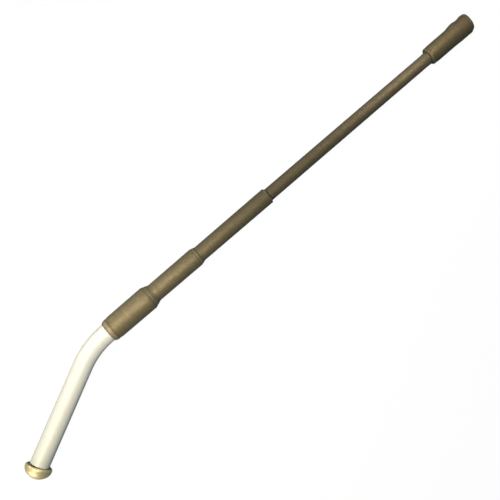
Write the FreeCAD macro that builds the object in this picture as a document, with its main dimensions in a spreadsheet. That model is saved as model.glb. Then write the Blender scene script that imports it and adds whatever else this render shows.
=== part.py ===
import FreeCAD, Part
import math
import os

import Sketcher

# A static discharger: a domed brass foot, a bent tube and a sleeved rod that ends in
# two sharp pins under a closed cap. It lies with its bend flat on the XY plane.
# The origin is the centre of the foot's shoulder, the ring that a gland nut bears on.
# +X leaves the shoulder away from the dome, and +Z is square to the plane of the bend.
# Sizes are in millimetres and degrees. Sleeves shrink onto what they cover, so their
# bores and steps are worked out from the pieces inside them.

# Driving sizes

SIZES = {
    # bent tube
    "tube_diameter": 9.525,
    "tube_wall": 0.9,
    "tube_straight": 50.4,
    "bend_radius": 41.5,
    "bend_angle": 26.0,
    # domed foot, brazed on a little askew
    "foot_ledge": 1.71,
    "foot_height": 6.3,
    "foot_edge_radius": 1.05,
    "foot_side_share": 0.84,
    "foot_lean": 5.5,
    "foot_socket_depth": 3.0,
    "braze_gap": 0.06,
    "braze_relief": 0.22,
    # coupling that joins the tube to the rod
    "coupling_wall": 0.42,
    "coupling_chamfer": 0.3,
    "coupling_socket_depth": 18.5,
    "coupling_web": 3.55,
    "coupling_taper": 3.25,
    "coupling_neck_diameter": 7.82,
    "coupling_neck_length": 26.3,
    "coupling_nose_length": 2.45,
    "coupling_rod_depth": 24.0,
    # rod, from its core outwards
    "core_diameter": 4.76,
    "film_wall": 0.15,
    "jacket_wall": 0.69,
    "jacket_thinning": 0.15,
    "jacket_length": 146.05,
    "jacket_flare": 0.16,
    "jacket_flare_length": 4.0,
    # sleeves and the fit of what is shrunk, pressed or bonded together
    "seat_gap": 0.02,
    "sleeve_wall": 0.68,
    "sleeve_gain": 0.11,
    # boot over the coupling
    "boot_setback": 1.45,
    "lip_length": 2.35,
    "lip_wall": 0.44,
    "lip_rise": 0.54,
    "lip_chamfer": 0.12,
    "crease_width": 0.3,
    "crease_depth": 0.12,
    "brow_drop": 0.14,
    "brow_length": 0.9,
    "boot_drape": 0.15,
    "boot_blend": 3.5,
    "boot_cuff": 42.6,
    "boot_cut_chamfer": 0.3,
    # tip
    "holder_diameter": 7.75,
    "holder_length": 25.3,
    "holder_rod_depth": 13.5,
    "holder_chamfer": 0.3,
    "holder_end_chamfer": 0.8,
    "pin_diameter": 1.1,
    "pin_point": 0.35,
    "pin_stand": 0.82,
    "pin_back": 0.6,
    "pin_inset": 1.4,
    "pin_pitch": 5.5,
    # cap over the tip
    "cap_overlap": 0.3,
    "cap_mouth_chamfer": 0.2,
    "cap_mouth_run": 5.0,
    "cap_mouth_thinning": 0.12,
    "cap_lean": 0.17,
    "cap_sag": 0.34,
    "cap_end_wall": 0.6,
    "cap_end_draw": 0.65,
    "cap_end_shift": 0.36,
    "cap_end_radius": 1.6,
}

WHOLE_TURN = 360.0
STRAIGHT_ON = 1
GEOMETRY_ORIGIN = -1
HORIZONTAL_AXIS = -1
START, END, CENTRE = 1, 2, 3
Z_AXIS = FreeCAD.Vector(0, 0, 1)
SKETCH_DOWN = FreeCAD.Vector(0, -1, 0)
EDGE_TOLERANCE = 0.001
RIM_SAMPLES = 81

document = FreeCAD.newDocument("static_discharger")
sheet = document.addObject("Spreadsheet::Sheet", "Sizes")
for row, (alias, size) in enumerate(SIZES.items(), start=1):
    sheet.set("A%d" % row, alias)
    sheet.set("B%d" % row, str(size))
    sheet.setAlias("B%d" % row, alias)
document.recompute()

# Stations and radii that follow from the sizes.
# Stations count from the end of the tube's bend, along the rod towards the tip.

TUBE_R = "(Sizes.tube_diameter / 2)"
TUBE_BORE_R = "(Sizes.tube_diameter / 2 - Sizes.tube_wall)"
FOOT_BORE_R = "(Sizes.tube_diameter / 2 + Sizes.braze_gap)"
FOOT_R = "(" + FOOT_BORE_R + " + Sizes.foot_ledge)"
FOOT_SIDE_R = "(Sizes.foot_side_share * min(Sizes.foot_height - Sizes.foot_edge_radius; " + FOOT_R + "))"
SOCKET_R = "(" + TUBE_R + " + Sizes.seat_gap)"
COUPLING_R = "(" + SOCKET_R + " + Sizes.coupling_wall)"
NECK_R = "(Sizes.coupling_neck_diameter / 2)"
CORE_R = "(Sizes.core_diameter / 2)"
FILM_R = "(" + CORE_R + " + Sizes.seat_gap + Sizes.film_wall)"
ROD_BORE_R = "(" + FILM_R + " + Sizes.seat_gap)"
JACKET_R = "(" + ROD_BORE_R + " + Sizes.jacket_wall)"
JACKET_TIP_R = "(" + JACKET_R + " - Sizes.jacket_thinning)"
HOLDER_R = "(Sizes.holder_diameter / 2)"
PIN_R = "(Sizes.pin_diameter / 2)"
LIP_R = "(" + SOCKET_R + " + Sizes.lip_wall)"
BODY_R = "(" + COUPLING_R + " + Sizes.seat_gap + Sizes.sleeve_wall)"
BOOT_NECK_R = "(" + NECK_R + " + Sizes.seat_gap + Sizes.sleeve_wall)"
CUFF_R = "(" + JACKET_R + " + Sizes.seat_gap + Sizes.sleeve_wall)"
CAP_BORE_R = "(" + HOLDER_R + " + Sizes.seat_gap)"
CAP_R = "(" + CAP_BORE_R + " + Sizes.sleeve_wall)"

BOOT_START = "Sizes.boot_setback"
LIP_END = "(" + BOOT_START + " + Sizes.lip_length)"
COUPLING_START = "(" + LIP_END + " + Sizes.crease_width)"
TUBE_END = "(" + COUPLING_START + " + Sizes.coupling_socket_depth)"
TAPER_START = "(" + TUBE_END + " + Sizes.coupling_web)"
NECK_START = "(" + TAPER_START + " + Sizes.coupling_taper)"
NECK_END = "(" + NECK_START + " + Sizes.coupling_neck_length)"
NOSE_END = "(" + NECK_END + " + Sizes.coupling_nose_length)"
BOOT_END = "(" + NOSE_END + " + Sizes.boot_drape + Sizes.boot_cuff)"
CORE_START = "(" + NOSE_END + " - Sizes.coupling_rod_depth)"
JACKET_END = "(" + NOSE_END + " + Sizes.jacket_length)"
FLARE_START = "(" + JACKET_END + " - Sizes.jacket_flare_length)"
CORE_END = "(" + JACKET_END + " + Sizes.holder_rod_depth)"
HOLDER_END = "(" + JACKET_END + " + Sizes.holder_length)"
HOLDER_SHOULDER = "(" + HOLDER_END + " - Sizes.holder_end_chamfer)"
OUTER_PIN = "(" + HOLDER_END + " - Sizes.pin_inset)"
INNER_PIN = "(" + OUTER_PIN + " - Sizes.pin_pitch)"
CAP_START = "(" + JACKET_END + " - Sizes.cap_overlap)"
TENT_START = "(" + INNER_PIN + " - 3 * Sizes.pin_pitch / 2)"
CAP_END = "(" + HOLDER_END + " + Sizes.cap_end_wall)"

# Where the tube and the rod stand in the foot's frame

TUBE_ANGLE = "(-Sizes.foot_lean)"
ROD_ANGLE = "(-Sizes.foot_lean - Sizes.bend_angle)"
BEND_ALONG = "(Sizes.tube_straight + Sizes.bend_radius * sin(Sizes.bend_angle))"
BEND_ASIDE = "(Sizes.bend_radius * (1 - cos(Sizes.bend_angle)))"
TUBE_X = "-Sizes.foot_socket_depth * cos(Sizes.foot_lean)"
TUBE_Y = "Sizes.foot_socket_depth * sin(Sizes.foot_lean)"
ROD_X = BEND_ALONG + " * cos(Sizes.foot_lean) - " + BEND_ASIDE + " * sin(Sizes.foot_lean)"
ROD_Y = "-" + BEND_ALONG + " * sin(Sizes.foot_lean) - " + BEND_ASIDE + " * cos(Sizes.foot_lean)"


# Tools for sketches and features


def number(expression):
    """What an expression of the sheet's sizes comes to."""
    return float(sheet.evalExpression(expression))


def new_body(name, x="0", y="0", angle="0"):
    """An empty sub-part at a place on the XY plane, turned about Z."""
    body = document.addObject("PartDesign::Body", name)
    body.Label = name
    turned = FreeCAD.Rotation(Z_AXIS, number(angle))
    body.Placement = FreeCAD.Placement(FreeCAD.Vector(number(x), number(y), 0), turned)
    body.setExpression("Placement.Base.x", x)
    body.setExpression("Placement.Base.y", y)
    body.setExpression("Placement.Rotation.Angle", angle)
    return body


def rod_body(name):
    """An empty sub-part in the rod's frame: X along the rod from the end of the bend."""
    return new_body(name, ROD_X, ROD_Y, ROD_ANGLE)


def new_sketch(body, name, role, along=None):
    """A sketch on one of the body's own planes, moved along its normal."""
    sketch = body.newObject("Sketcher::SketchObject", name)
    plane = next(item for item in body.Origin.OriginFeatures if item.Role == role)
    sketch.AttachmentSupport = [(plane, "")]
    sketch.MapMode = "FlatFace"
    if along:
        sketch.AttachmentOffset = FreeCAD.Placement(
            FreeCAD.Vector(0, 0, number(along)), FreeCAD.Rotation()
        )
        sketch.setExpression("AttachmentOffset.Base.z", along)
    return sketch


def bind(sketch, constraint, name, expression):
    """Add a size to a sketch and tie it to an expression."""
    index = sketch.addConstraint(constraint)
    sketch.renameConstraint(index, name)
    sketch.setExpression("Constraints." + name, expression)


def pin_down(sketch, geometry, end, name, x, y):
    """Tie one point of a sketch to its place, where None is a place on that axis."""
    if x is None:
        sketch.addConstraint(
            Sketcher.Constraint("Vertical", GEOMETRY_ORIGIN, START, geometry, end)
        )
    else:
        across = Sketcher.Constraint(
            "DistanceX", GEOMETRY_ORIGIN, START, geometry, end, number(x)
        )
        bind(sketch, across, name + "_x", x)
    if y is None:
        sketch.addConstraint(Sketcher.Constraint("PointOnObject", geometry, end, HORIZONTAL_AXIS))
    else:
        up = Sketcher.Constraint("DistanceY", GEOMETRY_ORIGIN, START, geometry, end, number(y))
        bind(sketch, up, name + "_y", y)


def outline(body, name, points, along=None):
    """A closed outline of straight edges on the XY plane. None stands for a place on the axis."""
    sketch = new_sketch(body, name, "XY_Plane")
    if along:
        sketch.AttachmentOffset = FreeCAD.Placement(
            FreeCAD.Vector(number(along), 0, 0), FreeCAD.Rotation()
        )
        sketch.setExpression("AttachmentOffset.Base.x", along)
    places = [
        FreeCAD.Vector(number(x) if x else 0.0, number(y) if y else 0.0, 0) for x, y in points
    ]
    count = len(places)
    for index in range(count):
        edge = Part.LineSegment(places[index], places[(index + 1) % count])
        sketch.addGeometry(edge)
    for index in range(count):
        joint = Sketcher.Constraint("Coincident", index, END, (index + 1) % count, START)
        sketch.addConstraint(joint)
    for index, (x, y) in enumerate(points):
        pin_down(sketch, index, START, "point_%d" % index, x, y)
    return sketch


def circle_sketch(body, name, radii, along=None, centre_x=None, role="YZ_Plane"):
    """Circles about one centre, on a plane across the piece."""
    sketch = new_sketch(body, name, role, along)
    middle = FreeCAD.Vector(number(centre_x) if centre_x else 0.0, 0, 0)
    for index, radius in enumerate(radii):
        sketch.addGeometry(Part.Circle(middle, Z_AXIS, number(radius)))
        size = Sketcher.Constraint("Radius", index, number(radius))
        bind(sketch, size, "radius_%d" % index, radius)
        pin_down(sketch, index, CENTRE, "centre_%d" % index, centre_x, None)
    return sketch


def turn(body, name, sketch, axis="H_Axis", kind="PartDesign::Revolution"):
    """Turn an outline a whole turn about one of its sketch's axes, as solid or as cut."""
    before = body.Tip.Shape.Volume if body.Tip else 0.0
    feature = body.newObject(kind, name)
    feature.Profile = sketch
    feature.ReferenceAxis = (sketch, [axis])
    feature.Angle = WHOLE_TURN
    document.recompute()
    if kind == "PartDesign::Groove" and feature.Shape.Volume >= before:
        raise RuntimeError(name + " cuts nothing")
    return feature


def turned_cut(body, name, sketch, axis="H_Axis"):
    """Cut a turned hollow out of a piece."""
    return turn(body, name, sketch, axis, "PartDesign::Groove")


def rims(shape, station, radius):
    """Names of a shape's round edges across X at a station, with a given radius."""
    names = []
    for index, edge in enumerate(shape.Edges, start=1):
        if edge.Degenerated:
            continue
        places = edge.discretize(RIM_SAMPLES)
        flat = all(abs(place.x - station) < EDGE_TOLERANCE for place in places)
        wide = max(abs(place.z) for place in places)
        if flat and abs(wide - radius) < EDGE_TOLERANCE:
            names.append("Edge%d" % index)
    if not names:
        raise RuntimeError("no rim at station %.3f with radius %.3f" % (station, radius))
    return names


def dress_rims(body, name, rim_list, size, kind="PartDesign::Fillet"):
    """Round or chamfer circular rims, each given by its station and radius."""
    base = body.Tip
    names = []
    for station, rim_radius in rim_list:
        names += rims(base.Shape, number(station), number(rim_radius))
    dressed = body.newObject(kind, name)
    dressed.Base = (base, names)
    dressed.setExpression("Radius" if kind == "PartDesign::Fillet" else "Size", size)
    document.recompute()
    return dressed


def chamfer_rims(body, name, rim_list, size):
    """Chamfer circular rims, each given by its station and radius."""
    return dress_rims(body, name, rim_list, size, "PartDesign::Chamfer")


# Domed foot: a turned nose with a flat shoulder, bored along the tube's leaning axis


def mounting_foot():
    body = new_body("mounting_foot", x="-Sizes.foot_height")
    height = number("Sizes.foot_height")
    edge = number("Sizes.foot_edge_radius")
    radius = number(FOOT_R)
    side = number(FOOT_SIDE_R)
    belt = height - edge
    nose = (belt**2 + (radius - side) ** 2 - side**2) / (2 * (belt - side))
    side_middle = FreeCAD.Vector(belt, radius - side, 0)
    nose_middle = FreeCAD.Vector(nose, 0, 0)
    away = side_middle - nose_middle
    meeting = math.atan2(away.y, away.x)
    half_turn = math.pi
    quarter = math.pi / 2

    sketch = new_sketch(body, "foot_outline", "XY_Plane")
    shoulder_edge = FreeCAD.Vector(height, radius - edge, 0)
    sketch.addGeometry(Part.LineSegment(FreeCAD.Vector(0, 0, 0), FreeCAD.Vector(height, 0, 0)))
    sketch.addGeometry(Part.LineSegment(FreeCAD.Vector(height, 0, 0), shoulder_edge))
    edge_circle = Part.Circle(FreeCAD.Vector(belt, radius - edge, 0), Z_AXIS, edge)
    sketch.addGeometry(Part.ArcOfCircle(edge_circle, 0, quarter))
    side_circle = Part.Circle(side_middle, Z_AXIS, side)
    sketch.addGeometry(Part.ArcOfCircle(side_circle, quarter, meeting))
    nose_circle = Part.Circle(nose_middle, Z_AXIS, nose)
    sketch.addGeometry(Part.ArcOfCircle(nose_circle, meeting, half_turn))
    axis, shoulder, edge_arc, side_arc, nose_arc = range(5)
    sketch.addConstraint(
        [
            Sketcher.Constraint("Coincident", axis, START, GEOMETRY_ORIGIN, START),
            Sketcher.Constraint("Horizontal", axis),
            Sketcher.Constraint("Coincident", axis, END, shoulder, START),
            Sketcher.Constraint("Vertical", shoulder),
            Sketcher.Constraint("Tangent", shoulder, END, edge_arc, START),
            Sketcher.Constraint("Tangent", edge_arc, END, side_arc, START),
            Sketcher.Constraint("Vertical", edge_arc, CENTRE, edge_arc, END),
            Sketcher.Constraint("Tangent", side_arc, END, nose_arc, START),
            Sketcher.Constraint("Coincident", nose_arc, END, axis, START),
            Sketcher.Constraint("PointOnObject", nose_arc, CENTRE, HORIZONTAL_AXIS),
        ]
    )
    tall = Sketcher.Constraint("DistanceX", axis, START, axis, END, height)
    bind(sketch, tall, "height", "Sizes.foot_height")
    wide = Sketcher.Constraint("DistanceY", GEOMETRY_ORIGIN, START, edge_arc, END, radius)
    bind(sketch, wide, "belt_radius", FOOT_R)
    bind(sketch, Sketcher.Constraint("Radius", edge_arc, edge), "edge_radius", "Sizes.foot_edge_radius")
    bind(sketch, Sketcher.Constraint("Radius", side_arc, side), "side_radius", FOOT_SIDE_R)
    turn(body, "foot_dome", sketch)

    # the socket starts clear above the shoulder, because its axis leans
    rise = "(" + FOOT_R + " * sin(Sizes.foot_lean))"
    leaning = circle_sketch(body, "socket_circle", [FOOT_BORE_R])
    leaning.AttachmentOffset = FreeCAD.Placement(
        FreeCAD.Vector(0, 0, 0), FreeCAD.Rotation(SKETCH_DOWN, number("Sizes.foot_lean"))
    )
    leaning.setExpression("AttachmentOffset.Rotation.Angle", "Sizes.foot_lean")
    leaning.setExpression("AttachmentOffset.Base.x", "-" + rise + " * sin(Sizes.foot_lean)")
    leaning.setExpression(
        "AttachmentOffset.Base.z", "Sizes.foot_height + " + rise + " * cos(Sizes.foot_lean)"
    )
    document.recompute()
    solid = body.Tip.Shape.Volume
    socket = body.newObject("PartDesign::Pocket", "tube_socket")
    socket.Profile = leaning
    socket.setExpression("Length", rise + " + Sizes.foot_socket_depth")
    document.recompute()
    if socket.Shape.Volume >= solid:
        raise RuntimeError("the tube socket cuts nothing")

    # a countersink holds the braze and lets a flat washer past the leaning tube
    chamfer_rims(body, "braze_relief", [("Sizes.foot_height", FOOT_BORE_R)], "Sizes.braze_relief")
    return body


# Bent tube, from the bottom of the foot's socket to the bottom of the coupling's


def base_tube():
    body = new_body("base_tube", TUBE_X, TUBE_Y, TUBE_ANGLE)
    lower = "(Sizes.foot_socket_depth + Sizes.tube_straight)"
    bend = math.radians(number("Sizes.bend_angle"))
    radius = number("Sizes.bend_radius")
    first = FreeCAD.Vector(number(lower), 0, 0)
    bend_middle = first - FreeCAD.Vector(0, radius, 0)
    second = bend_middle + FreeCAD.Vector(math.sin(bend), math.cos(bend), 0) * radius
    heading = FreeCAD.Vector(math.cos(bend), -math.sin(bend), 0)

    path = new_sketch(body, "tube_path", "XY_Plane")
    path.addGeometry(Part.LineSegment(FreeCAD.Vector(0, 0, 0), first))
    bend_circle = Part.Circle(bend_middle, Z_AXIS, radius)
    path.addGeometry(Part.ArcOfCircle(bend_circle, math.pi / 2 - bend, math.pi / 2))
    path.addGeometry(Part.LineSegment(second, second + heading * number(TUBE_END)))
    lower_run, bend_arc, upper_run = range(3)
    path.addConstraint(
        [
            Sketcher.Constraint("Coincident", lower_run, START, GEOMETRY_ORIGIN, START),
            Sketcher.Constraint("Horizontal", lower_run),
            Sketcher.Constraint("Tangent", lower_run, END, bend_arc, END),
            Sketcher.Constraint("Tangent", bend_arc, START, upper_run, START),
        ]
    )
    bind(
        path,
        Sketcher.Constraint("Distance", lower_run, number(lower)),
        "lower_length",
        lower,
    )
    bind(path, Sketcher.Constraint("Radius", bend_arc, radius), "bend_radius", "Sizes.bend_radius")
    bind(path, Sketcher.Constraint("Angle", bend_arc, bend), "bend_angle", "Sizes.bend_angle")
    bind(
        path,
        Sketcher.Constraint("Distance", upper_run, number(TUBE_END)),
        "upper_length",
        TUBE_END,
    )
    section = circle_sketch(body, "tube_section", [TUBE_R, TUBE_BORE_R])
    document.recompute()
    pipe = body.newObject("PartDesign::AdditivePipe", "bent_tube")
    pipe.Profile = section
    pipe.Spine = (path, ["Edge1", "Edge2", "Edge3"])
    document.recompute()
    return body


# Coupling: a stepped bush that takes the tube in one end and the rod in the other


def coupling():
    body = rod_body("coupling")
    chamfered = "(" + COUPLING_R + " - Sizes.coupling_chamfer)"
    profile = outline(
        body,
        "coupling_outline",
        [
            (COUPLING_START, SOCKET_R),
            (COUPLING_START, chamfered),
            ("(" + COUPLING_START + " + Sizes.coupling_chamfer)", COUPLING_R),
            (TAPER_START, COUPLING_R),
            (NECK_START, NECK_R),
            (NECK_END, NECK_R),
            (NOSE_END, JACKET_R),
            (NOSE_END, ROD_BORE_R),
            (CORE_START, ROD_BORE_R),
            (CORE_START, None),
            (TUBE_END, None),
            (TUBE_END, SOCKET_R),
        ],
    )
    turn(body, "coupling_turned", profile)
    return body


# Rod: a glass-fibre core, the resistive film on it and the jacket over both


def rod_core():
    body = rod_body("rod_core")
    profile = outline(
        body,
        "core_outline",
        [(CORE_START, None), (CORE_START, CORE_R), (CORE_END, CORE_R), (CORE_END, None)],
    )
    turn(body, "core_turned", profile)
    return body


def resistive_film():
    body = rod_body("resistive_film")
    inner = "(" + CORE_R + " + Sizes.seat_gap)"
    profile = outline(
        body,
        "film_outline",
        [(CORE_START, inner), (CORE_START, FILM_R), (CORE_END, FILM_R), (CORE_END, inner)],
    )
    turn(body, "film_turned", profile)
    return body


def rod_jacket():
    body = rod_body("rod_jacket")
    profile = outline(
        body,
        "jacket_outline",
        [
            (NOSE_END, ROD_BORE_R),
            (NOSE_END, JACKET_R),
            (FLARE_START, JACKET_TIP_R),
            (JACKET_END, "(" + JACKET_TIP_R + " + Sizes.jacket_flare)"),
            (JACKET_END, ROD_BORE_R),
        ],
    )
    turn(body, "jacket_turned", profile)
    return body


# Boot: one sleeve shrunk over the tube's end, the coupling's steps and the rod.
# Its wall grows a little along each straight stretch, and its steps are draped soft.


def boot():
    body = rod_body("boot")
    lip_top = "(" + LIP_R + " + Sizes.lip_rise)"
    brow_start = COUPLING_START
    brow_end = "(" + COUPLING_START + " + Sizes.brow_length)"
    body_end = "(" + TAPER_START + " + Sizes.boot_drape)"
    neck_start = "(" + NECK_START + " + Sizes.boot_drape)"
    neck_end = "(" + NECK_END + " + Sizes.boot_drape)"
    cuff_start = "(" + NOSE_END + " + Sizes.boot_drape)"
    body_end_r = "(" + BODY_R + " + Sizes.sleeve_gain)"
    neck_end_r = "(" + BOOT_NECK_R + " + Sizes.sleeve_gain)"
    cuff_end_r = "(" + CUFF_R + " + Sizes.sleeve_gain)"
    outside = outline(
        body,
        "boot_outside",
        [
            (BOOT_START, None),
            (BOOT_START, LIP_R),
            (LIP_END, lip_top),
            ("(" + LIP_END + " + Sizes.crease_width / 2)", "(" + lip_top + " - Sizes.crease_depth)"),
            (brow_start, "(" + BODY_R + " - Sizes.brow_drop)"),
            (brow_end, BODY_R),
            (body_end, body_end_r),
            (neck_start, BOOT_NECK_R),
            (neck_end, neck_end_r),
            (cuff_start, CUFF_R),
            (BOOT_END, cuff_end_r),
            (BOOT_END, None),
        ],
    )
    turn(body, "boot_turned", outside)
    steps = [
        (body_end, body_end_r),
        (neck_start, BOOT_NECK_R),
        (neck_end, neck_end_r),
        (cuff_start, CUFF_R),
    ]
    dress_rims(body, "draped_steps", steps, "Sizes.boot_blend")
    chamfer_rims(body, "lip_edge", [(BOOT_START, LIP_R)], "Sizes.lip_chamfer")
    chamfer_rims(body, "cuff_edge", [(BOOT_END, cuff_end_r)], "Sizes.boot_cut_chamfer")
    fitted = "(" + COUPLING_R + " + Sizes.seat_gap)"
    over_neck = "(" + NECK_R + " + Sizes.seat_gap)"
    over_jacket = "(" + JACKET_R + " + Sizes.seat_gap)"
    inside = outline(
        body,
        "boot_inside",
        [
            (BOOT_START, None),
            (BOOT_START, SOCKET_R),
            (COUPLING_START, SOCKET_R),
            (COUPLING_START, fitted),
            (TAPER_START, fitted),
            (NECK_START, over_neck),
            (NECK_END, over_neck),
            (NOSE_END, over_jacket),
            (BOOT_END, over_jacket),
            (BOOT_END, None),
        ],
    )
    turned_cut(body, "boot_bore", inside)
    return body


# Tip: a metal holder pressed on the rod, with two sharp pins set across it


def point_holder():
    body = rod_body("point_holder")
    chamfered = "(" + HOLDER_R + " - Sizes.holder_chamfer)"
    profile = outline(
        body,
        "holder_outline",
        [
            (JACKET_END, ROD_BORE_R),
            (JACKET_END, chamfered),
            ("(" + JACKET_END + " + Sizes.holder_chamfer)", HOLDER_R),
            (HOLDER_SHOULDER, HOLDER_R),
            (HOLDER_END, "(" + HOLDER_R + " - Sizes.holder_end_chamfer)"),
            (HOLDER_END, None),
            (CORE_END, None),
            (CORE_END, ROD_BORE_R),
        ],
    )
    turn(body, "holder_turned", profile)
    hole_r = "(" + PIN_R + " + Sizes.seat_gap)"
    for name, station in (("inner_hole", INNER_PIN), ("outer_hole", OUTER_PIN)):
        circle = circle_sketch(body, name + "_circle", [hole_r], centre_x=station, role="XZ_Plane")
        document.recompute()
        solid = body.Tip.Shape.Volume
        hole = body.newObject("PartDesign::Pocket", name)
        hole.Profile = circle
        hole.Type = STRAIGHT_ON
        hole.Midplane = True
        document.recompute()
        if hole.Shape.Volume >= solid:
            raise RuntimeError(name + " cuts nothing")
    return body


def discharge_pin(name, station):
    """A round pin across the holder, with its point standing out on the +Y side."""
    body = rod_body(name)
    point = "(" + HOLDER_R + " + Sizes.pin_stand)"
    length = "(Sizes.holder_diameter - Sizes.pin_back + Sizes.pin_stand)"
    section = circle_sketch(body, name + "_section", [PIN_R], "-" + point, station, "XZ_Plane")
    document.recompute()
    shank = body.newObject("PartDesign::Pad", name + "_shank")
    shank.Profile = section
    shank.setExpression("Length", length)
    document.recompute()
    top = number(point)
    rim = [
        "Edge%d" % index
        for index, edge in enumerate(shank.Shape.Edges, start=1)
        if abs(edge.BoundBox.YMin - top) < EDGE_TOLERANCE
    ]
    sharp = body.newObject("PartDesign::Chamfer", name + "_point")
    sharp.Base = (shank, rim)
    sharp.Size = number("Sizes.pin_point")
    sharp.setExpression("Size", "Sizes.pin_point")
    document.recompute()
    return body


# Cap: a closed sleeve over the tip, straight up to the pins. There the pins push its +Y
# side out like tent poles, it sags between them, and the other side stays straight.


def tip_cap():
    body = rod_body("tip_cap")
    mouth_r = "(" + CAP_R + " - Sizes.cap_mouth_thinning)"
    mouth_aside = "(Sizes.cap_lean + Sizes.cap_mouth_thinning / 2)"
    straight = [
        (CAP_START, mouth_r, mouth_aside),
        ("(" + CAP_START + " + Sizes.cap_mouth_run)", CAP_R, "Sizes.cap_lean"),
        (TENT_START, CAP_R, "Sizes.cap_lean"),
    ]
    tented_r = "(" + CAP_R + " + Sizes.pin_stand / 2)"
    tented_aside = "(Sizes.pin_stand / 2)"
    halfway_r = "(" + tented_r + " - Sizes.cap_sag / 2)"
    halfway_aside = "(" + tented_aside + " - Sizes.cap_sag / 2)"
    end_r = "(" + tented_r + " - Sizes.cap_end_draw)"
    end_aside = "(" + tented_aside + " + Sizes.cap_end_shift)"
    tented = [
        (TENT_START, CAP_R, "Sizes.cap_lean"),
        ("(" + INNER_PIN + " - Sizes.pin_pitch)", CAP_R, "Sizes.cap_lean"),
        ("(" + INNER_PIN + " - Sizes.pin_pitch / 2)", halfway_r, halfway_aside),
        (INNER_PIN, tented_r, tented_aside),
        ("(" + INNER_PIN + " + Sizes.pin_pitch / 2)", halfway_r, halfway_aside),
        (OUTER_PIN, tented_r, tented_aside),
        (CAP_END, end_r, end_aside),
    ]
    for name, ruled, profile in (("barrel", True, straight), ("tent", False, tented)):
        sections = [
            circle_sketch(body, "cap_%s_section_%d" % (name, index), [radius], station, aside)
            for index, (station, radius, aside) in enumerate(profile)
        ]
        document.recompute()
        skin = body.newObject("PartDesign::AdditiveLoft", "cap_" + name)
        skin.Profile = sections[0]
        skin.Sections = sections[1:]
        skin.Ruled = ruled
        document.recompute()
    chamfer_rims(body, "cap_mouth_edge", [(CAP_START, mouth_r)], "Sizes.cap_mouth_chamfer")
    dress_rims(body, "cap_end_edge", [(CAP_END, end_r)], "Sizes.cap_end_radius")

    bore = outline(
        body,
        "cap_bore_outline",
        [
            (CAP_START, None),
            (CAP_START, CAP_BORE_R),
            (HOLDER_SHOULDER, CAP_BORE_R),
            (HOLDER_END, "(" + CAP_BORE_R + " - Sizes.holder_end_chamfer)"),
            (HOLDER_END, None),
        ],
    )
    turned_cut(body, "cap_bore", bore)
    clear_r = "(" + PIN_R + " + Sizes.seat_gap)"
    clear_top = "(" + HOLDER_R + " + Sizes.pin_stand + Sizes.seat_gap)"
    for name, station in (("inner_dimple", INNER_PIN), ("outer_dimple", OUTER_PIN)):
        dimple = outline(
            body,
            name + "_outline",
            [(None, None), (clear_r, None), (clear_r, clear_top), (None, clear_top)],
            along=station,
        )
        turned_cut(body, name, dimple, "V_Axis")
    return body


bodies = [
    mounting_foot(),
    base_tube(),
    coupling(),
    rod_core(),
    resistive_film(),
    rod_jacket(),
    boot(),
    point_holder(),
    discharge_pin("inner_discharge_pin", INNER_PIN),
    discharge_pin("outer_discharge_pin", OUTER_PIN),
    tip_cap(),
]

# Nothing is written unless every feature is sound

document.recompute()
for item in document.Objects:
    if "Invalid" in item.State or "Error" in item.State:
        raise RuntimeError(item.Name + " did not build: " + ", ".join(item.State))
for body in bodies:
    if body.Shape.isNull() or not body.Shape.isValid() or not body.Shape.Solids:
        raise RuntimeError(body.Label + " has no sound solid")

os.makedirs("parts", exist_ok=True)
for body in bodies:
    body.Shape.exportStep(os.path.join("parts", body.Label + ".step"))
    box = body.Shape.BoundBox
    print(
        "%-20s volume %8.1f mm3, x %.2f to %.2f, y %.2f to %.2f, z %.2f to %.2f"
        % (body.Label, body.Shape.Volume, box.XMin, box.XMax, box.YMin, box.YMax, box.ZMin, box.ZMax)
    )
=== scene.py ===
import logging
import math
from collections.abc import Iterable
from dataclasses import dataclass, field
from enum import Enum
from typing import Any

import bmesh
import bpy
from mathutils import Matrix, Vector


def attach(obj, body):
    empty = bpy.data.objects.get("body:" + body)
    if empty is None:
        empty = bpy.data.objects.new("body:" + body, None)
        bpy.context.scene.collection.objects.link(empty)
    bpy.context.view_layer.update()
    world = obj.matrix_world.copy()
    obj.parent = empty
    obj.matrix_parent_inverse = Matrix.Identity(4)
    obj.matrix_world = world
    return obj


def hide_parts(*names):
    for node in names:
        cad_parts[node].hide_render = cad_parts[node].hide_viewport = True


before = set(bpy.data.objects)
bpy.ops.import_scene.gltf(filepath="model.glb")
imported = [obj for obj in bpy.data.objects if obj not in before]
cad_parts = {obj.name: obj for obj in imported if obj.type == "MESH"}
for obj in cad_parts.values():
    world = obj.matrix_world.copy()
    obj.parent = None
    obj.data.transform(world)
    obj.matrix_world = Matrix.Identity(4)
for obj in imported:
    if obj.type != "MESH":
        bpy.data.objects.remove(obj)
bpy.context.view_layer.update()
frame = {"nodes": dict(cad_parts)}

# A static discharger lying on a pale floor: a domed brass foot, a bent plated tube and a
# rod under khaki shrink sleeves, with two hidden points that tent the cap at its tip.
# Sizes are in millimetres and degrees, and meshes are scaled to metres when placed.

LOG = logging.getLogger("static_discharger")
MM = 0.001
WHOLE_TURN = 2 * math.pi
ALONG = Vector((1.0, 0.0, 0.0))
UP = Vector((0.0, 0.0, 1.0))
MERGE = 1e-4
SHARP_ANGLE = 38.0
WHITE = (1.0, 1.0, 1.0)

Colour = tuple[float, float, float]
Corner = tuple[float, float]


# Sizes that more than one piece needs


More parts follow.
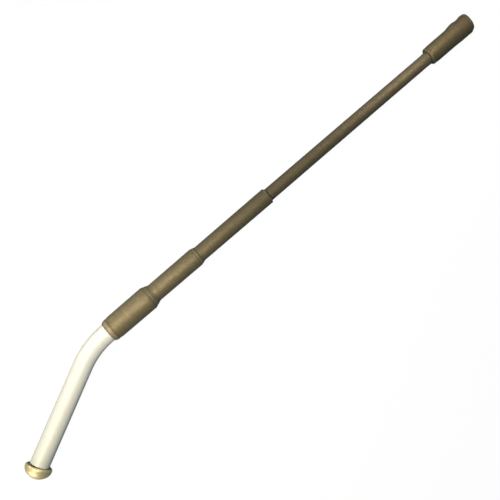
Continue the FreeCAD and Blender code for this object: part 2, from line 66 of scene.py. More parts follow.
@dataclass(frozen=True)
class Layout:
    """Where the tube and the rod run, and the stations on the rod.

    Stations count along the rod from the end of the tube's bend.
    """

    tube_radius: float = 4.7625
    tube_bore: float = 3.8625
    tube_straight: float = 50.4
    tube_end: float = 22.6
    socket_depth: float = 3.0
    bend_radius: float = 41.5
    bend_angle: float = 26.0
    lean: float = 5.5
    boot_start: float = 1.45
    boot_end: float = 100.9
    jacket_start: float = 58.15
    jacket_end: float = 204.2
    holder_shoulder: float = 228.7
    holder_end: float = 229.5
    rod_bore: float = 2.57
    inner_pin: float = 222.6
    outer_pin: float = 228.1

    def foot_place(self) -> Matrix:
        """The foot's own frame: X from the dome through the shoulder."""
        return Matrix.Scale(MM, 4)

    def tube_place(self) -> Matrix:
        """The frame of the tube's straight run, whose axis leans against the foot's."""
        return Matrix.Scale(MM, 4) @ Matrix.Rotation(-math.radians(self.lean), 4, "Z")

    def rod_place(self) -> Matrix:
        """Work out the rod's frame: X along the rod from the end of the bend.

        Returns:
            The frame, in metres.
        """
        turn = math.radians(self.bend_angle)
        along = self.tube_straight + self.bend_radius * math.sin(turn)
        aside = self.bend_radius * (math.cos(turn) - 1.0)
        bent = Matrix.Translation((along, aside, 0.0)) @ Matrix.Rotation(-turn, 4, "Z")
        return self.tube_place() @ bent


# Drawing and turning


class Lathe:
    """Draws a profile on the XY plane and turns it about X into a closed skin."""

    def __init__(self, x: float, radius: float) -> None:
        """Put the pen down.

        Args:
            x: Station of the first point.
            radius: Its distance from the axis.
        """
        self.mesh = bmesh.new()
        self.first = self.mesh.verts.new((x, radius, 0.0))
        self.pen = self.first

    def line_to(self, x: float, radius: float, steps: int = 1) -> None:
        """Draw a straight stretch in equal steps.

        Args:
            x: Station of its end.
            radius: Distance of its end from the axis.
            steps: How many edges it has.
        """
        start = self.pen.co.copy()
        end = Vector((x, radius, 0.0))
        for step in range(1, steps + 1):
            point = self.mesh.verts.new(start.lerp(end, step / steps))
            self.mesh.edges.new((self.pen, point))
            self.pen = point

    def arc_about(self, x: float, radius: float, angle: float, steps: int) -> None:
        """Draw an arc by swinging the pen about a centre.

        Args:
            x: Station of the centre.
            radius: Distance of the centre from the axis.
            angle: Swing in radians, anticlockwise.
            steps: How many edges it has.
        """
        swung = bmesh.ops.spin(
            self.mesh,
            geom=[self.pen],
            cent=(x, radius, 0.0),
            axis=UP,
            angle=angle,
            steps=steps,
        )
        last = swung["geom_last"]
        self.pen = next(item for item in last if isinstance(item, bmesh.types.BMVert))

    def turn(self, segments: int) -> bmesh.types.BMesh:
        """Close the profile and turn it about X.

        Args:
            segments: Faces around the turn.

        Returns:
            The turned mesh, with its doubles merged and its faces outward.
        """
        self.mesh.edges.new((self.pen, self.first))
        profile = self.mesh.verts[:] + self.mesh.edges[:]
        bmesh.ops.spin(
            self.mesh,
            geom=profile,
            cent=(0.0, 0.0, 0.0),
            axis=ALONG,
            angle=WHOLE_TURN,
            steps=segments,
            use_merge=True,
        )
        seal(self.mesh)
        return self.mesh


def seal(mesh: bmesh.types.BMesh) -> None:
    """Merge doubles, clear edges that carry no face and turn every face outward.

    Args:
        mesh: The mesh to tidy.
    """
    bmesh.ops.remove_doubles(mesh, verts=mesh.verts, dist=MERGE)
    bmesh.ops.dissolve_degenerate(mesh, edges=mesh.edges, dist=MERGE)
    bare = [edge for edge in mesh.edges if not edge.link_faces]
    bmesh.ops.delete(mesh, geom=bare, context="EDGES")
    bmesh.ops.recalc_face_normals(mesh, faces=mesh.faces)


def rim(mesh: bmesh.types.BMesh, x: float, radius: float) -> list[bmesh.types.BMEdge]:
    """Find the edges of a turned mesh that run round it.

    Args:
        mesh: The turned mesh.
        x: Their station.
        radius: Their distance from the axis.

    Returns:
        The edges.
    """

    def on_rim(vert: bmesh.types.BMVert) -> bool:
        """Whether a corner lies on the rim."""
        return abs(vert.co.x - x) < MERGE and abs(vert.co.yz.length - radius) < MERGE

    return [edge for edge in mesh.edges if all(on_rim(vert) for vert in edge.verts)]


def soften(
    mesh: bmesh.types.BMesh, edges: list[bmesh.types.BMEdge], reach: float, segments: int
) -> None:
    """Round some edges.

    Args:
        mesh: The mesh they are in.
        edges: The edges.
        reach: How far the rounding goes to each side.
        segments: Faces across it.
    """
    bmesh.ops.bevel(
        mesh,
        geom=edges,
        offset=reach,
        offset_type="OFFSET",
        segments=segments,
        profile=0.5,
        affect="EDGES",
        material=-1,
        clamp_overlap=True,
    )


def add_object(name: str, data: bpy.types.ID) -> bpy.types.Object:
    """Make an object of some data and put it in the scene.

    Args:
        name: The object's name.
        data: Its mesh, lamp or camera.

    Returns:
        The object.
    """
    added = bpy.data.objects.new(name, data)
    bpy.context.scene.collection.objects.link(added)
    return added


def finish_piece(name: str, mesh: bmesh.types.BMesh, place: Matrix) -> bpy.types.Object:
    """Place a mesh and make it an object that rides on the part.

    Args:
        name: The piece's name.
        mesh: Its shape in its own frame, in millimetres. It is freed.
        place: That frame, in metres.

    Returns:
        The new object, at the origin and unturned.
    """
    bmesh.ops.transform(mesh, matrix=place, verts=mesh.verts)
    for face in mesh.faces:
        face.smooth = True
    data = bpy.data.meshes.new(name)
    mesh.to_mesh(data)
    mesh.free()
    data.set_sharp_from_angle(angle=math.radians(SHARP_ANGLE))
    piece = add_object(name, data)
    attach(piece, "root")
    LOG.info("%s: %d faces", name, len(data.polygons))
    return piece


# Materials


class Graph:
    """A node tree that is being wired up."""

    def __init__(self, tree: bpy.types.NodeTree) -> None:
        """Start on a tree."""
        self.tree = tree

    @classmethod
    def fresh(cls, owner: bpy.types.ID) -> "Graph":
        """Clear the node tree of a material or a world and start on it.

        Args:
            owner: The material or the world.

        Returns:
            The empty graph.
        """
        owner.use_nodes = True
        owner.node_tree.nodes.clear()
        return cls(owner.node_tree)

    def add(
        self, kind: str, inputs: dict[str | int, Any] | None = None, **settings: Any
    ) -> bpy.types.Node:
        """Add a node.

        Args:
            kind: Its type, without the ShaderNode prefix unless it is a group part.
            inputs: Values or outputs of other nodes, by socket.
            **settings: The node's own settings.

        Returns:
            The node.
        """
        prefix = "" if kind.startswith("Node") else "ShaderNode"
        node = self.tree.nodes.new(prefix + kind)
        for key, value in settings.items():
            setattr(node, key, value)
        for key, value in (inputs or {}).items():
            self.feed(node.inputs[key], value)
        return node

    def feed(self, socket: bpy.types.NodeSocket, value: Any) -> None:
        """Wire a socket to an output, or give it its own value.

        Args:
            socket: The input.
            value: The output of another node, a number, a vector or a colour.
        """
        if isinstance(value, bpy.types.NodeSocket):
            self.tree.links.new(value, socket)
        elif socket.type == "RGBA":
            socket.default_value = (*value, 1.0)
        else:
            socket.default_value = value

    def math(self, operation: str, first: Any, second: Any = 0.0) -> bpy.types.NodeSocket:
        """Add a Math node and give its result."""
        return self.add("Math", {0: first, 1: second}, operation=operation).outputs[0]

    def ramp(
        self, value: Any, low: float, high: float, start: float = 0.0, end: float = 1.0
    ) -> bpy.types.NodeSocket:
        """Carry a value from one range to another, clamped.

        Args:
            value: The value or socket.
            low: Where its range starts.
            high: Where it ends.
            start: Result at low.
            end: Result at high.

        Returns:
            The carried value.
        """
        mapped = self.add("MapRange", {0: value, 1: low, 2: high, 3: start, 4: end})
        return mapped.outputs[0]

    def mix(self, share: Any, first: Any, second: Any) -> bpy.types.NodeSocket:
        """Blend two colours.

        Args:
            share: How much of the second shows, from 0 to 1.
            first: A colour or a socket.
            second: A colour or a socket.

        Returns:
            The blended colour.
        """
        blend = self.add("Mix", {0: share, 6: first, 7: second}, data_type="RGBA")
        return blend.outputs[2]


class Effect(Enum):
    """Surface effects that several finishes share."""

    MOTTLE = "mottle"
    RINGS = "ring_grain"
    SCUFFS = "scuffs"


@dataclass(frozen=True)
class Grain:
    """A noise, the stretch of it that is spread from 0 to 1, and its scale round the X axis."""

    detail: float
    roughness: float
    low: float
    high: float
    around: float = 1.0


@dataclass
class Effects:
    """Builds each shared effect once, as a node group with a Vector, a Scale and a Value."""

    grains: dict[Effect, Grain] = field(
        default_factory=lambda: {
            Effect.MOTTLE: Grain(5.0, 0.62, 0.3, 0.7),
            Effect.RINGS: Grain(3.0, 0.7, 0.32, 0.68, around=0.06),
            Effect.SCUFFS: Grain(7.0, 0.75, 0.63, 0.72),
        }
    )
    built: dict[Effect, bpy.types.NodeTree] = field(default_factory=dict)

    def group(self, effect: Effect) -> bpy.types.NodeTree:
        """Give the node group of an effect.

        Args:
            effect: Which effect.

        Returns:
            Its group, built when first asked for.
        """
        if effect not in self.built:
            grain = self.grains[effect]
            tree = bpy.data.node_groups.new(effect.value, "ShaderNodeTree")
            tree.interface.new_socket("Vector", in_out="INPUT", socket_type="NodeSocketVector")
            tree.interface.new_socket("Scale", in_out="INPUT", socket_type="NodeSocketFloat")
            tree.interface.new_socket("Value", in_out="OUTPUT", socket_type="NodeSocketFloat")
            graph = Graph(tree)
            given = graph.add("NodeGroupInput").outputs
            squeeze = (1.0, grain.around, grain.around)
            where = graph.add("Mapping", {"Vector": given["Vector"], "Scale": squeeze}).outputs[0]
            noise = graph.add(
                "TexNoise",
                {
                    "Vector": where,
                    "Scale": given["Scale"],
                    "Detail": grain.detail,
                    "Roughness": grain.roughness,
                },
            )
            value = graph.ramp(noise.outputs[0], grain.low, grain.high)
            graph.add("NodeGroupOutput", {"Value": value})
            self.built[effect] = tree
        return self.built[effect]


class Surface:
    """A material under way: its graph, its object coordinates in millimetres and its shader."""

    def __init__(self, name: str, effects: Effects, place: Matrix) -> None:
        """Start a material.

        Args:
            name: The material's name.
            effects: The shared effects.
            place: The frame whose X axis its patterns follow.
        """
        self.effects = effects
        self.material = bpy.data.materials.new(name)
        self.graph = Graph.fresh(self.material)
        self.shader = self.graph.add("BsdfPrincipled")
        self.graph.add("OutputMaterial", {"Surface": self.shader.outputs[0]})
        back = place.inverted()
        self.where = self.graph.add(
            "Mapping",
            {
                "Vector": self.graph.add("TexCoord").outputs["Object"],
                "Rotation": back.to_euler(),
                "Scale": back.to_scale(),
                "Location": back.to_translation(),
            },
        ).outputs[0]

    def effect(self, effect: Effect, scale: float) -> bpy.types.NodeSocket:
        """Place a shared effect.

        Args:
            effect: Which effect.
            scale: Its features for each millimetre.

        Returns:
            Its value, from 0 to 1.
        """
        inputs = {"Vector": self.where, "Scale": scale}
        node = self.graph.add("Group", inputs, node_tree=self.effects.group(effect))
        return node.outputs["Value"]

    def set(self, socket: str, value: Any) -> None:
        """Give one of the shader's sockets what it shows."""
        self.graph.feed(self.shader.inputs[socket], value)

    def bump(self, height: bpy.types.NodeSocket, depth: float) -> None:
        """Raise the surface by a height, where depth is in metres."""
        raised = self.graph.add("Bump", {"Height": height, "Distance": depth, "Strength": 1.0})
        self.set("Normal", raised.outputs["Normal"])


@dataclass(frozen=True)
class Finish:
    """A finish that is built as a material for each piece that wears it."""

    name: str

    def paint(self, surface: Surface) -> None:
        """Give the surface its colour, gloss and relief."""
        raise NotImplementedError

    def material(self, effects: Effects, place: Matrix) -> bpy.types.Material:
        """Build the material.

        Args:
            effects: The shared effects.
            place: The frame of the piece that wears it.

        Returns:
            The material.
        """
        surface = Surface(self.name, effects, place)
        self.paint(surface)
        return surface.material


@dataclass(frozen=True)
class Band:
    """A band round a sleeve where painted highlight or painted shade lies."""

    station: float
    reach: float
    share: float


@dataclass(frozen=True)
class SleeveFinish(Finish):
    """Satin khaki shrink sleeve: mottled, faint rings, painted highlight on rims, painted shade in
    corners.

    Scales are in features for each millimetre, shares run from 0 to 1.
    """

    colour: Colour
    shade: Colour
    blush: Colour
    # A pale tone for real scuffs, also used for painted highlight on rims.
    scuff_and_highlight_tone: Colour
    roughness: float
    # Bands of painted highlight on rims.
    painted_highlight_bands: tuple[Band, ...] = ()
    # Bands of painted shade in creases, at steps and at mouths.
    painted_shade_bands: tuple[Band, ...] = ()
    metallic: float = 0.7
    roughness_swing: float = 0.05
    sheen: float = 0.17
    sheen_roughness: float = 0.35
    sheen_tint: Colour = (0.30, 0.66, 1.0)
    blotch_scale: float = 0.48
    warm_scale: float = 0.31
    ring_scale: float = 0.85
    speck_scale: float = 1.1
    ring_share: float = 0.35
    warm_share: float = 0.6
    speck_share: float = 0.35
    band_floor: float = 0.55
    # How dark the painted shade is, as a share of the darker tone.
    painted_shade_tone: float = 0.3
    blotch_height: float = 0.8
    depth: float = 0.00002

    def banded(
        self, surface: Surface, bands: tuple[Band, ...], breakup: bpy.types.NodeSocket
    ) -> bpy.types.NodeSocket:
        """How strongly the bands show, broken up by a mottle.

        Args:
            surface: The material under way.
            bands: Where they lie.
            breakup: The mottle, from 0 to 1.

        Returns:
            The share, from 0 to 1.
        """
        graph = surface.graph
        along = graph.add("SeparateXYZ", {0: surface.where}).outputs[0]
        total: Any = 0.0
        for band in bands:
            away = graph.math("ABSOLUTE", graph.math("SUBTRACT", along, band.station))
            near = graph.ramp(away, 0.0, band.reach, band.share, 0.0)
            total = graph.math("MAXIMUM", total, near)
        return graph.math("MULTIPLY", total, graph.ramp(breakup, 0.0, 1.0, self.band_floor, 1.0))

    def paint(self, surface: Surface) -> None:
        """Mix the khaki, its rings and its bands.

        Args:
            surface: The material under way.
        """
        graph = surface.graph
        blotch = surface.effect(Effect.MOTTLE, self.blotch_scale)
        warm = surface.effect(Effect.MOTTLE, self.warm_scale)
        rings = surface.effect(Effect.RINGS, self.ring_scale)
        specks = surface.effect(Effect.SCUFFS, self.speck_scale)
        tone = graph.math(
            "ADD",
            graph.math("MULTIPLY", blotch, 1.0 - self.ring_share),
            graph.math("MULTIPLY", rings, self.ring_share),
        )
        base = graph.mix(tone, self.shade, self.colour)
        base = graph.mix(graph.math("MULTIPLY", warm, self.warm_share), base, self.blush)
        # Painted shade: bands at creases, steps and mouths darken the khaki.
        if self.painted_shade_bands:
            painted_shade_colour = tuple(self.painted_shade_tone * part for part in self.shade)
            base = graph.mix(self.banded(surface, self.painted_shade_bands, rings), base, painted_shade_colour)
        # Painted highlight: bands on rims lighten the khaki.
        if self.painted_highlight_bands:
            base = graph.mix(self.banded(surface, self.painted_highlight_bands, blotch), base, self.scuff_and_highlight_tone)
        rubs = graph.math("MULTIPLY", specks, self.speck_share)
        smooth, rough = self.roughness - self.roughness_swing, self.roughness + self.roughness_swing
        surface.set("Base Color", graph.mix(rubs, base, self.scuff_and_highlight_tone))
        surface.set("Roughness", graph.ramp(blotch, 0.0, 1.0, rough, smooth))
        surface.set("Metallic", self.metallic)
        surface.set("Sheen Weight", self.sheen)
        surface.set("Sheen Roughness", self.sheen_roughness)
        surface.set("Sheen Tint", self.sheen_tint)
        height = graph.math("ADD", rings, graph.math("MULTIPLY", blotch, self.blotch_height))
        surface.bump(height, self.depth)


@dataclass(frozen=True)
class PlatedFinish(Finish):
    """Satin plating on drawn tube, clouded and specked."""

    colour: Colour
    dull: Colour
    roughness: float
    metallic: float
    smoother: float = 0.03
    rougher: float = 0.05
    cloud_scale: float = 0.22
    speck_scale: float = 0.9
    cloud_share: float = 0.35
    speck_share: float = 0.25
    depth: float = 0.000006

    def paint(self, surface: Surface) -> None:
        """Cloud and speck the plating.

        Args:
            surface: The material under way.
        """
        graph = surface.graph
        cloud = surface.effect(Effect.MOTTLE, self.cloud_scale)
        specks = surface.effect(Effect.SCUFFS, self.speck_scale)
        clouds = graph.ramp(cloud, 0.0, 1.0, 0.0, self.cloud_share)
        clouded = graph.mix(clouds, self.colour, self.dull)
        specked = graph.mix(graph.math("MULTIPLY", specks, self.speck_share), clouded, self.dull)
        smooth, rough = self.roughness - self.smoother, self.roughness + self.rougher
        surface.set("Base Color", specked)
        surface.set("Metallic", self.metallic)
        surface.set("Roughness", graph.ramp(cloud, 0.0, 1.0, smooth, rough))
        surface.bump(cloud, self.depth)


@dataclass(frozen=True)
class BrassFinish(Finish):
    """Turned brass, darkened round the braze at its shoulder by heat tint and painted shade.

    The darkening fades outward over its width and down the side between its two stations.
    """

    colour: Colour
    tarnish: Colour
    stain_and_shade: Colour
    roughness: float
    stain_and_shade_radius: float
    stain_and_shade_width: float = 1.2
    stain_and_shade_stations: tuple[float, float] = (-0.9, -0.1)
    metallic: float = 0.75
    smoother: float = 0.04
    rougher: float = 0.08
    cloud_scale: float = 0.45
    turning_scale: float = 4.0
    tarnish_share: float = 0.5
    depth: float = 0.000005

    def paint(self, surface: Surface) -> None:
        """Tarnish the brass and darken it round the braze with heat tint and painted shade.

        Args:
            surface: The material under way.
        """
        graph = surface.graph
        cloud = surface.effect(Effect.MOTTLE, self.cloud_scale)
        turned = surface.effect(Effect.RINGS, self.turning_scale)
        tarnished = graph.ramp(cloud, 0.0, 1.0, 0.0, self.tarnish_share)
        base = graph.mix(tarnished, self.colour, self.tarnish)
        # Heat tint and painted shade: darkest at the shoulder, close round the tube.
        split = graph.add("SeparateXYZ", {0: surface.where})
        squares = [graph.math("POWER", split.outputs[axis], 2.0) for axis in (1, 2)]
        reach = graph.math("SQRT", graph.math("ADD", squares[0], squares[1]))
        near_tube = graph.ramp(
            reach, self.stain_and_shade_radius, self.stain_and_shade_radius + self.stain_and_shade_width, 1.0, 0.0
        )
        stained_and_shaded = graph.math(
            "MULTIPLY", near_tube, graph.ramp(split.outputs[0], *self.stain_and_shade_stations)
        )
        smooth, rough = self.roughness - self.smoother, self.roughness + self.rougher
        surface.set("Base Color", graph.mix(stained_and_shaded, base, self.stain_and_shade))
        surface.set("Metallic", self.metallic)
        surface.set("Roughness", graph.ramp(cloud, 0.0, 1.0, smooth, rough))
        surface.bump(turned, self.depth)


@dataclass(frozen=True)
class PlainFinish(Finish):
    """The finish of a hidden or very small piece: one mottled colour."""

    colour: Colour
    shade: Colour
    metallic: float
    roughness: float
    cloud_scale: float = 0.6

    def paint(self, surface: Surface) -> None:
        """Mottle the colour.

        Args:
            surface: The material under way.
        """
        cloud = surface.effect(Effect.MOTTLE, self.cloud_scale)
        surface.set("Base Color", surface.graph.mix(cloud, self.colour, self.shade))
        surface.set("Metallic", self.metallic)
        surface.set("Roughness", self.roughness)


# Pieces


@dataclass
class MountingFoot:
    """Domed brass foot with a flat shoulder, and the braze that holds the tube in it."""

    layout: Layout
    height: float = 6.3
    radius: float = 6.5325
    edge_radius: float = 1.05
    side_share: float = 0.84
    braze_width: float = 0.34
    braze_height: float = 0.3
    braze_root: float = -0.2
    braze_seat: float = 0.01
    braze_root_seat: float = 0.05
    braze_waist: float = 0.45
    socket_gap: float = 0.06
    socket_floor: float = -3.4
    edge_steps: int = 10
    side_steps: int = 18
    nose_steps: int = 20
    segments: int = 128
    finish: BrassFinish = BrassFinish(
        "turned_brass",
        (1.0, 0.84, 0.46),
        (0.78, 0.58, 0.27),
        # Dark tone at the tube's joint: heat tint and painted shade.
        (0.15, 0.09, 0.065),
        roughness=0.5,
        stain_and_shade_radius=5.1,
    )
    # Dark braze: heat tint and painted shade in the joint.
    braze_finish: PlainFinish = PlainFinish(
        "braze_with_painted_shade", (0.10, 0.058, 0.055), (0.18, 0.11, 0.09), metallic=0.6, roughness=0.45
    )

    def build(self) -> tuple[bpy.types.Object, bpy.types.Object]:
        """Turn the foot and its braze.

        The dome is an edge roll, a round side and a flatter nose that meets the side smoothly.

        Returns:
            The foot and the braze ring.
        """
        side = self.side_share * (self.height - self.edge_radius)
        belt = -self.edge_radius
        low = self.radius - side
        reach = belt + self.height
        nose = (reach**2 + low**2 - side**2) / (2 * (reach - side))
        nose_middle = nose - self.height
        meeting = math.atan2(low, belt - nose_middle)
        socket = self.layout.tube_radius + self.socket_gap
        lathe = Lathe(0.0, socket)
        lathe.line_to(0.0, self.radius - self.edge_radius, 2)
        lathe.arc_about(belt, self.radius - self.edge_radius, math.pi / 2, self.edge_steps)
        lathe.arc_about(belt, low, meeting - math.pi / 2, self.side_steps)
        lathe.arc_about(nose_middle, 0.0, math.pi - meeting, self.nose_steps)
        lathe.line_to(self.socket_floor, 0.0)
        lathe.line_to(self.socket_floor, socket)
        foot = finish_piece("foot", lathe.turn(self.segments), self.layout.foot_place())
        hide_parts("mounting_foot")

        tube = self.layout.tube_radius
        ring = Lathe(self.braze_root, tube + self.braze_seat)
        ring.line_to(self.braze_height, tube + self.braze_seat)
        ring.line_to(self.braze_height * 0.5, tube + self.braze_width * self.braze_waist)
        ring.line_to(0.0, tube + self.braze_width)
        ring.line_to(self.braze_root, tube + self.braze_root_seat)
        braze = finish_piece("braze_ring", ring.turn(self.segments), self.layout.tube_place())
        return foot, braze

    def dress(self, pieces: tuple[bpy.types.Object, bpy.types.Object], effects: Effects) -> None:
        """Give the foot and the braze their finishes.

        Args:
            pieces: The foot and the braze ring.
            effects: The shared effects.
        """
        foot, braze = pieces
        foot.data.materials.append(self.finish.material(effects, self.layout.foot_place()))
        braze.data.materials.append(self.braze_finish.material(effects, self.layout.tube_place()))


@dataclass
class BentTube:
    """Thin plated tube: a straight run, one bend and the end inside the boot."""

    layout: Layout
    around: int = 96
    straight_steps: int = 24
    bend_steps: int = 40
    end_steps: int = 10
    finish: PlatedFinish = PlatedFinish(
        "plated_tube", (0.86, 0.83, 0.72), (0.80, 0.76, 0.63), roughness=0.5, metallic=0.12
    )

    def build(self) -> bpy.types.Object:
        """Sweep the tube's two skins along its path and close their ends.

        Returns:
            The tube.
        """
        layout = self.layout
        mesh = bmesh.new()
        upright = Matrix.Rotation(math.pi / 2, 4, "Y")
        start = Matrix.Translation((-layout.socket_depth, 0.0, 0.0)) @ upright
        straight = Vector((layout.tube_straight + layout.socket_depth, 0.0, 0.0))
        turn = math.radians(layout.bend_angle)
        heading = Vector((math.cos(turn), -math.sin(turn), 0.0))
        ends = []
        for radius in (layout.tube_radius, layout.tube_bore):
            before = set(mesh.faces)
            made = bmesh.ops.create_circle(mesh, segments=self.around, radius=radius, matrix=start)
            ring = list({edge for vert in made["verts"] for edge in vert.link_edges})
            first = ring
            ring = self.push(mesh, ring, straight, self.straight_steps)
            swung = bmesh.ops.spin(
                mesh,
                geom=ring + list({vert for edge in ring for vert in edge.verts}),
                cent=(layout.tube_straight, -layout.bend_radius, 0.0),
                axis=UP,
                angle=-turn,
                steps=self.bend_steps,
            )
            ring = [item for item in swung["geom_last"] if isinstance(item, bmesh.types.BMEdge)]
            ring = self.push(mesh, ring, heading * layout.tube_end, self.end_steps)
            ends.append((first, ring))
            skin = [face for face in mesh.faces if face not in before]
            bmesh.ops.recalc_face_normals(mesh, faces=skin)
            if radius == layout.tube_bore:
                bmesh.ops.reverse_faces(mesh, faces=skin)
        for outer, inner in zip(*ends):
            bmesh.ops.bridge_loops(mesh, edges=list(outer) + list(inner))
        seal(mesh)
        tube = finish_piece("tube", mesh, layout.tube_place())
        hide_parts("base_tube")
        return tube

    def push(
        self, mesh: bmesh.types.BMesh, ring: list[bmesh.types.BMEdge], move: Vector, steps: int
    ) -> list[bmesh.types.BMEdge]:
        """Extrude a ring of edges straight on.

        Args:
            mesh: The mesh it is in.
            ring: Its edges.
            move: How far it goes in all.
            steps: In how many steps.

        Returns:
            The edges of the last ring.
        """
        for _ in range(steps):
            made = bmesh.ops.extrude_edge_only(mesh, edges=ring)["geom"]
            moved = [item for item in made if isinstance(item, bmesh.types.BMVert)]
            ring = [item for item in made if isinstance(item, bmesh.types.BMEdge)]
            bmesh.ops.translate(mesh, verts=moved, vec=move / steps)
        return ring

    def dress(self, tube: bpy.types.Object, effects: Effects) -> None:
        """Give the tube its plating."""
        tube.data.materials.append(self.finish.material(effects, self.layout.tube_place()))


@dataclass
class Sleeve:
    """A shrink sleeve on the rod."""

    layout: Layout
    finish: SleeveFinish

    def dress(self, sleeve: bpy.types.Object, effects: Effects) -> None:
        """Give the sleeve its khaki."""
        sleeve.data.materials.append(self.finish.material(effects, self.layout.rod_place()))


@dataclass
class Boot(Sleeve):
    """One shrunk sleeve over the tube's end, the coupling's steps and the start of the rod."""

    lip_radius: float = 5.2225
    lip: tuple[Corner, ...] = (
        (2.1, 5.5),
        (3.0, 5.73),
        (3.75, 5.77),
        (4.2, 5.57),
        (4.6, 5.8),
        (5.4, 5.9),
    )
    body_radius: float = 5.9025
    body_end: float = 26.3
    neck_start: float = 29.55
    neck_radius: float = 4.61
    neck_end: float = 55.85
    shoulder: tuple[Corner, ...] = ((27.2, 5.48), (27.95, 5.34))
    ankle: tuple[Corner, ...] = ((56.1, 4.48), (56.75, 4.46), (57.5, 4.05))
    cut: float = 0.25
    cuff_start: float = 58.3
    cuff_radius: float = 3.96
    gain: float = 0.11
    tube_bore: float = 4.7825
    coupling_bore: float = 5.2225
    neck_bore: float = 3.93
    rod_bore: float = 3.28
    rod_edge: float = 0.12
    tube_seat: float = 4.1
    body_bore_end: float = 26.15
    neck_bore_start: float = 29.4
    neck_bore_end: float = 55.7
    body_rounding: float = 0.62
    neck_rounding: float = 0.5
    lip_rounding: float = 0.15
    cut_rounding: float = 0.12
    crease_rounding: float = 0.16
    rounding_steps: int = 4
    body_steps: int = 24
    neck_steps: int = 28
    cuff_steps: int = 40
    bore_steps: tuple[int, int, int] = (10, 6, 4)
    segments: int = 96
    finish: SleeveFinish = SleeveFinish(
        "boot_sleeve",
        (0.306, 0.247, 0.126),
        (0.214, 0.170, 0.086),
        (0.265, 0.197, 0.113),
        # Pale tone for scuffs and for painted highlights.
        (0.48, 0.40, 0.24),
        roughness=0.66,
        # Painted highlights on the lip band, the shoulder's slope, the neck's end and the cut end.
        painted_highlight_bands=(
            Band(2.85, 1.1, 1.0),
            Band(27.6, 0.7, 0.25),
            Band(56.45, 0.6, 0.8),
            Band(100.6, 0.4, 0.5),
        ),
        # Painted shade at the mouth, in the lip's crease and below the ankle step.
        painted_shade_bands=(Band(1.45, 0.5, 0.7), Band(4.3, 0.5, 0.35), Band(57.3, 0.5, 0.25)),
    )

    def build(self) -> bpy.types.Object:
        """Turn the boot with its draped steps and soften its corners.

        Returns:
            The boot.
        """
        layout = self.layout
        start, end = layout.boot_start, layout.boot_end
        cuff_bore, neck_bore, body_bore = self.bore_steps
        lathe = Lathe(start, self.tube_bore)
        lathe.line_to(start, self.lip_radius)
        for x, radius in self.lip:
            lathe.line_to(x, radius)
        lathe.line_to(self.body_end, self.body_radius + self.gain, self.body_steps)
        for x, radius in self.shoulder:
            lathe.line_to(x, radius)
        lathe.line_to(self.neck_start, self.neck_radius)
        lathe.line_to(self.neck_end, self.neck_radius + self.gain, self.neck_steps)
        for x, radius in self.ankle:
            lathe.line_to(x, radius)
        lathe.line_to(self.cuff_start, self.cuff_radius)
        lathe.line_to(end - self.cut, self.cuff_radius + self.gain, self.cuff_steps)
        lathe.line_to(end, self.rod_bore + self.rod_edge)
        lathe.line_to(end, self.rod_bore)
        lathe.line_to(layout.jacket_start, self.rod_bore, cuff_bore)
        lathe.line_to(self.neck_bore_end, self.neck_bore)
        lathe.line_to(self.neck_bore_start, self.neck_bore, neck_bore)
        lathe.line_to(self.body_bore_end, self.coupling_bore)
        lathe.line_to(self.tube_seat, self.coupling_bore, body_bore)
        lathe.line_to(self.tube_seat, self.tube_bore)
        mesh = lathe.turn(self.segments)
        corners = [
            (self.body_end, self.body_radius + self.gain, self.body_rounding),
            (self.neck_start, self.neck_radius, self.body_rounding),
            (self.neck_end, self.neck_radius + self.gain, self.neck_rounding),
            (self.cuff_start, self.cuff_radius, self.neck_rounding),
            (start, self.lip_radius, self.lip_rounding),
            (end - self.cut, self.cuff_radius + self.gain, self.cut_rounding),
        ]
        creases = (*self.lip[1:], *self.shoulder, *self.ankle)
        corners += [(x, radius, self.crease_rounding) for x, radius in creases]
        for x, radius, reach in corners:
            soften(mesh, rim(mesh, x, radius), reach, self.rounding_steps)
        seal(mesh)
        boot = finish_piece("shrunk_boot", mesh, layout.rod_place())
        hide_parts("boot")
        return boot


@dataclass
class RodJacket(Sleeve):
    """The long slender jacket over the rod's film."""

    radius: float = 3.26
    tip_radius: float = 3.11
    flare: float = 0.16
    flare_length: float = 4.0
    run_steps: int = 120
    flare_steps: int = 4
    segments: int = 72
    finish: SleeveFinish = SleeveFinish(
        "rod_sleeve",
        (0.306, 0.243, 0.127),
        (0.216, 0.170, 0.090),
        (0.264, 0.195, 0.114),
        (0.40, 0.34, 0.21),
        roughness=0.66,
        # Painted shade next to the cap's mouth and beside the boot's cut end.
        painted_shade_bands=(Band(203.4, 1.8, 0.5), Band(100.9, 0.8, 0.3)),
    )

    def build(self) -> bpy.types.Object:
        """Turn the jacket, a little thinner towards the tip and flared at its end.

        Returns:
            The jacket.
        """
        layout = self.layout
        lathe = Lathe(layout.jacket_start, layout.rod_bore)
        lathe.line_to(layout.jacket_start, self.radius)
        flare_start = layout.jacket_end - self.flare_length
        lathe.line_to(flare_start, self.tip_radius, self.run_steps)
        lathe.line_to(layout.jacket_end, self.tip_radius + self.flare, self.flare_steps)
        lathe.line_to(layout.jacket_end, layout.rod_bore)
        jacket = finish_piece("jacket", lathe.turn(self.segments), layout.rod_place())
        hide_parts("rod_jacket")
        return jacket


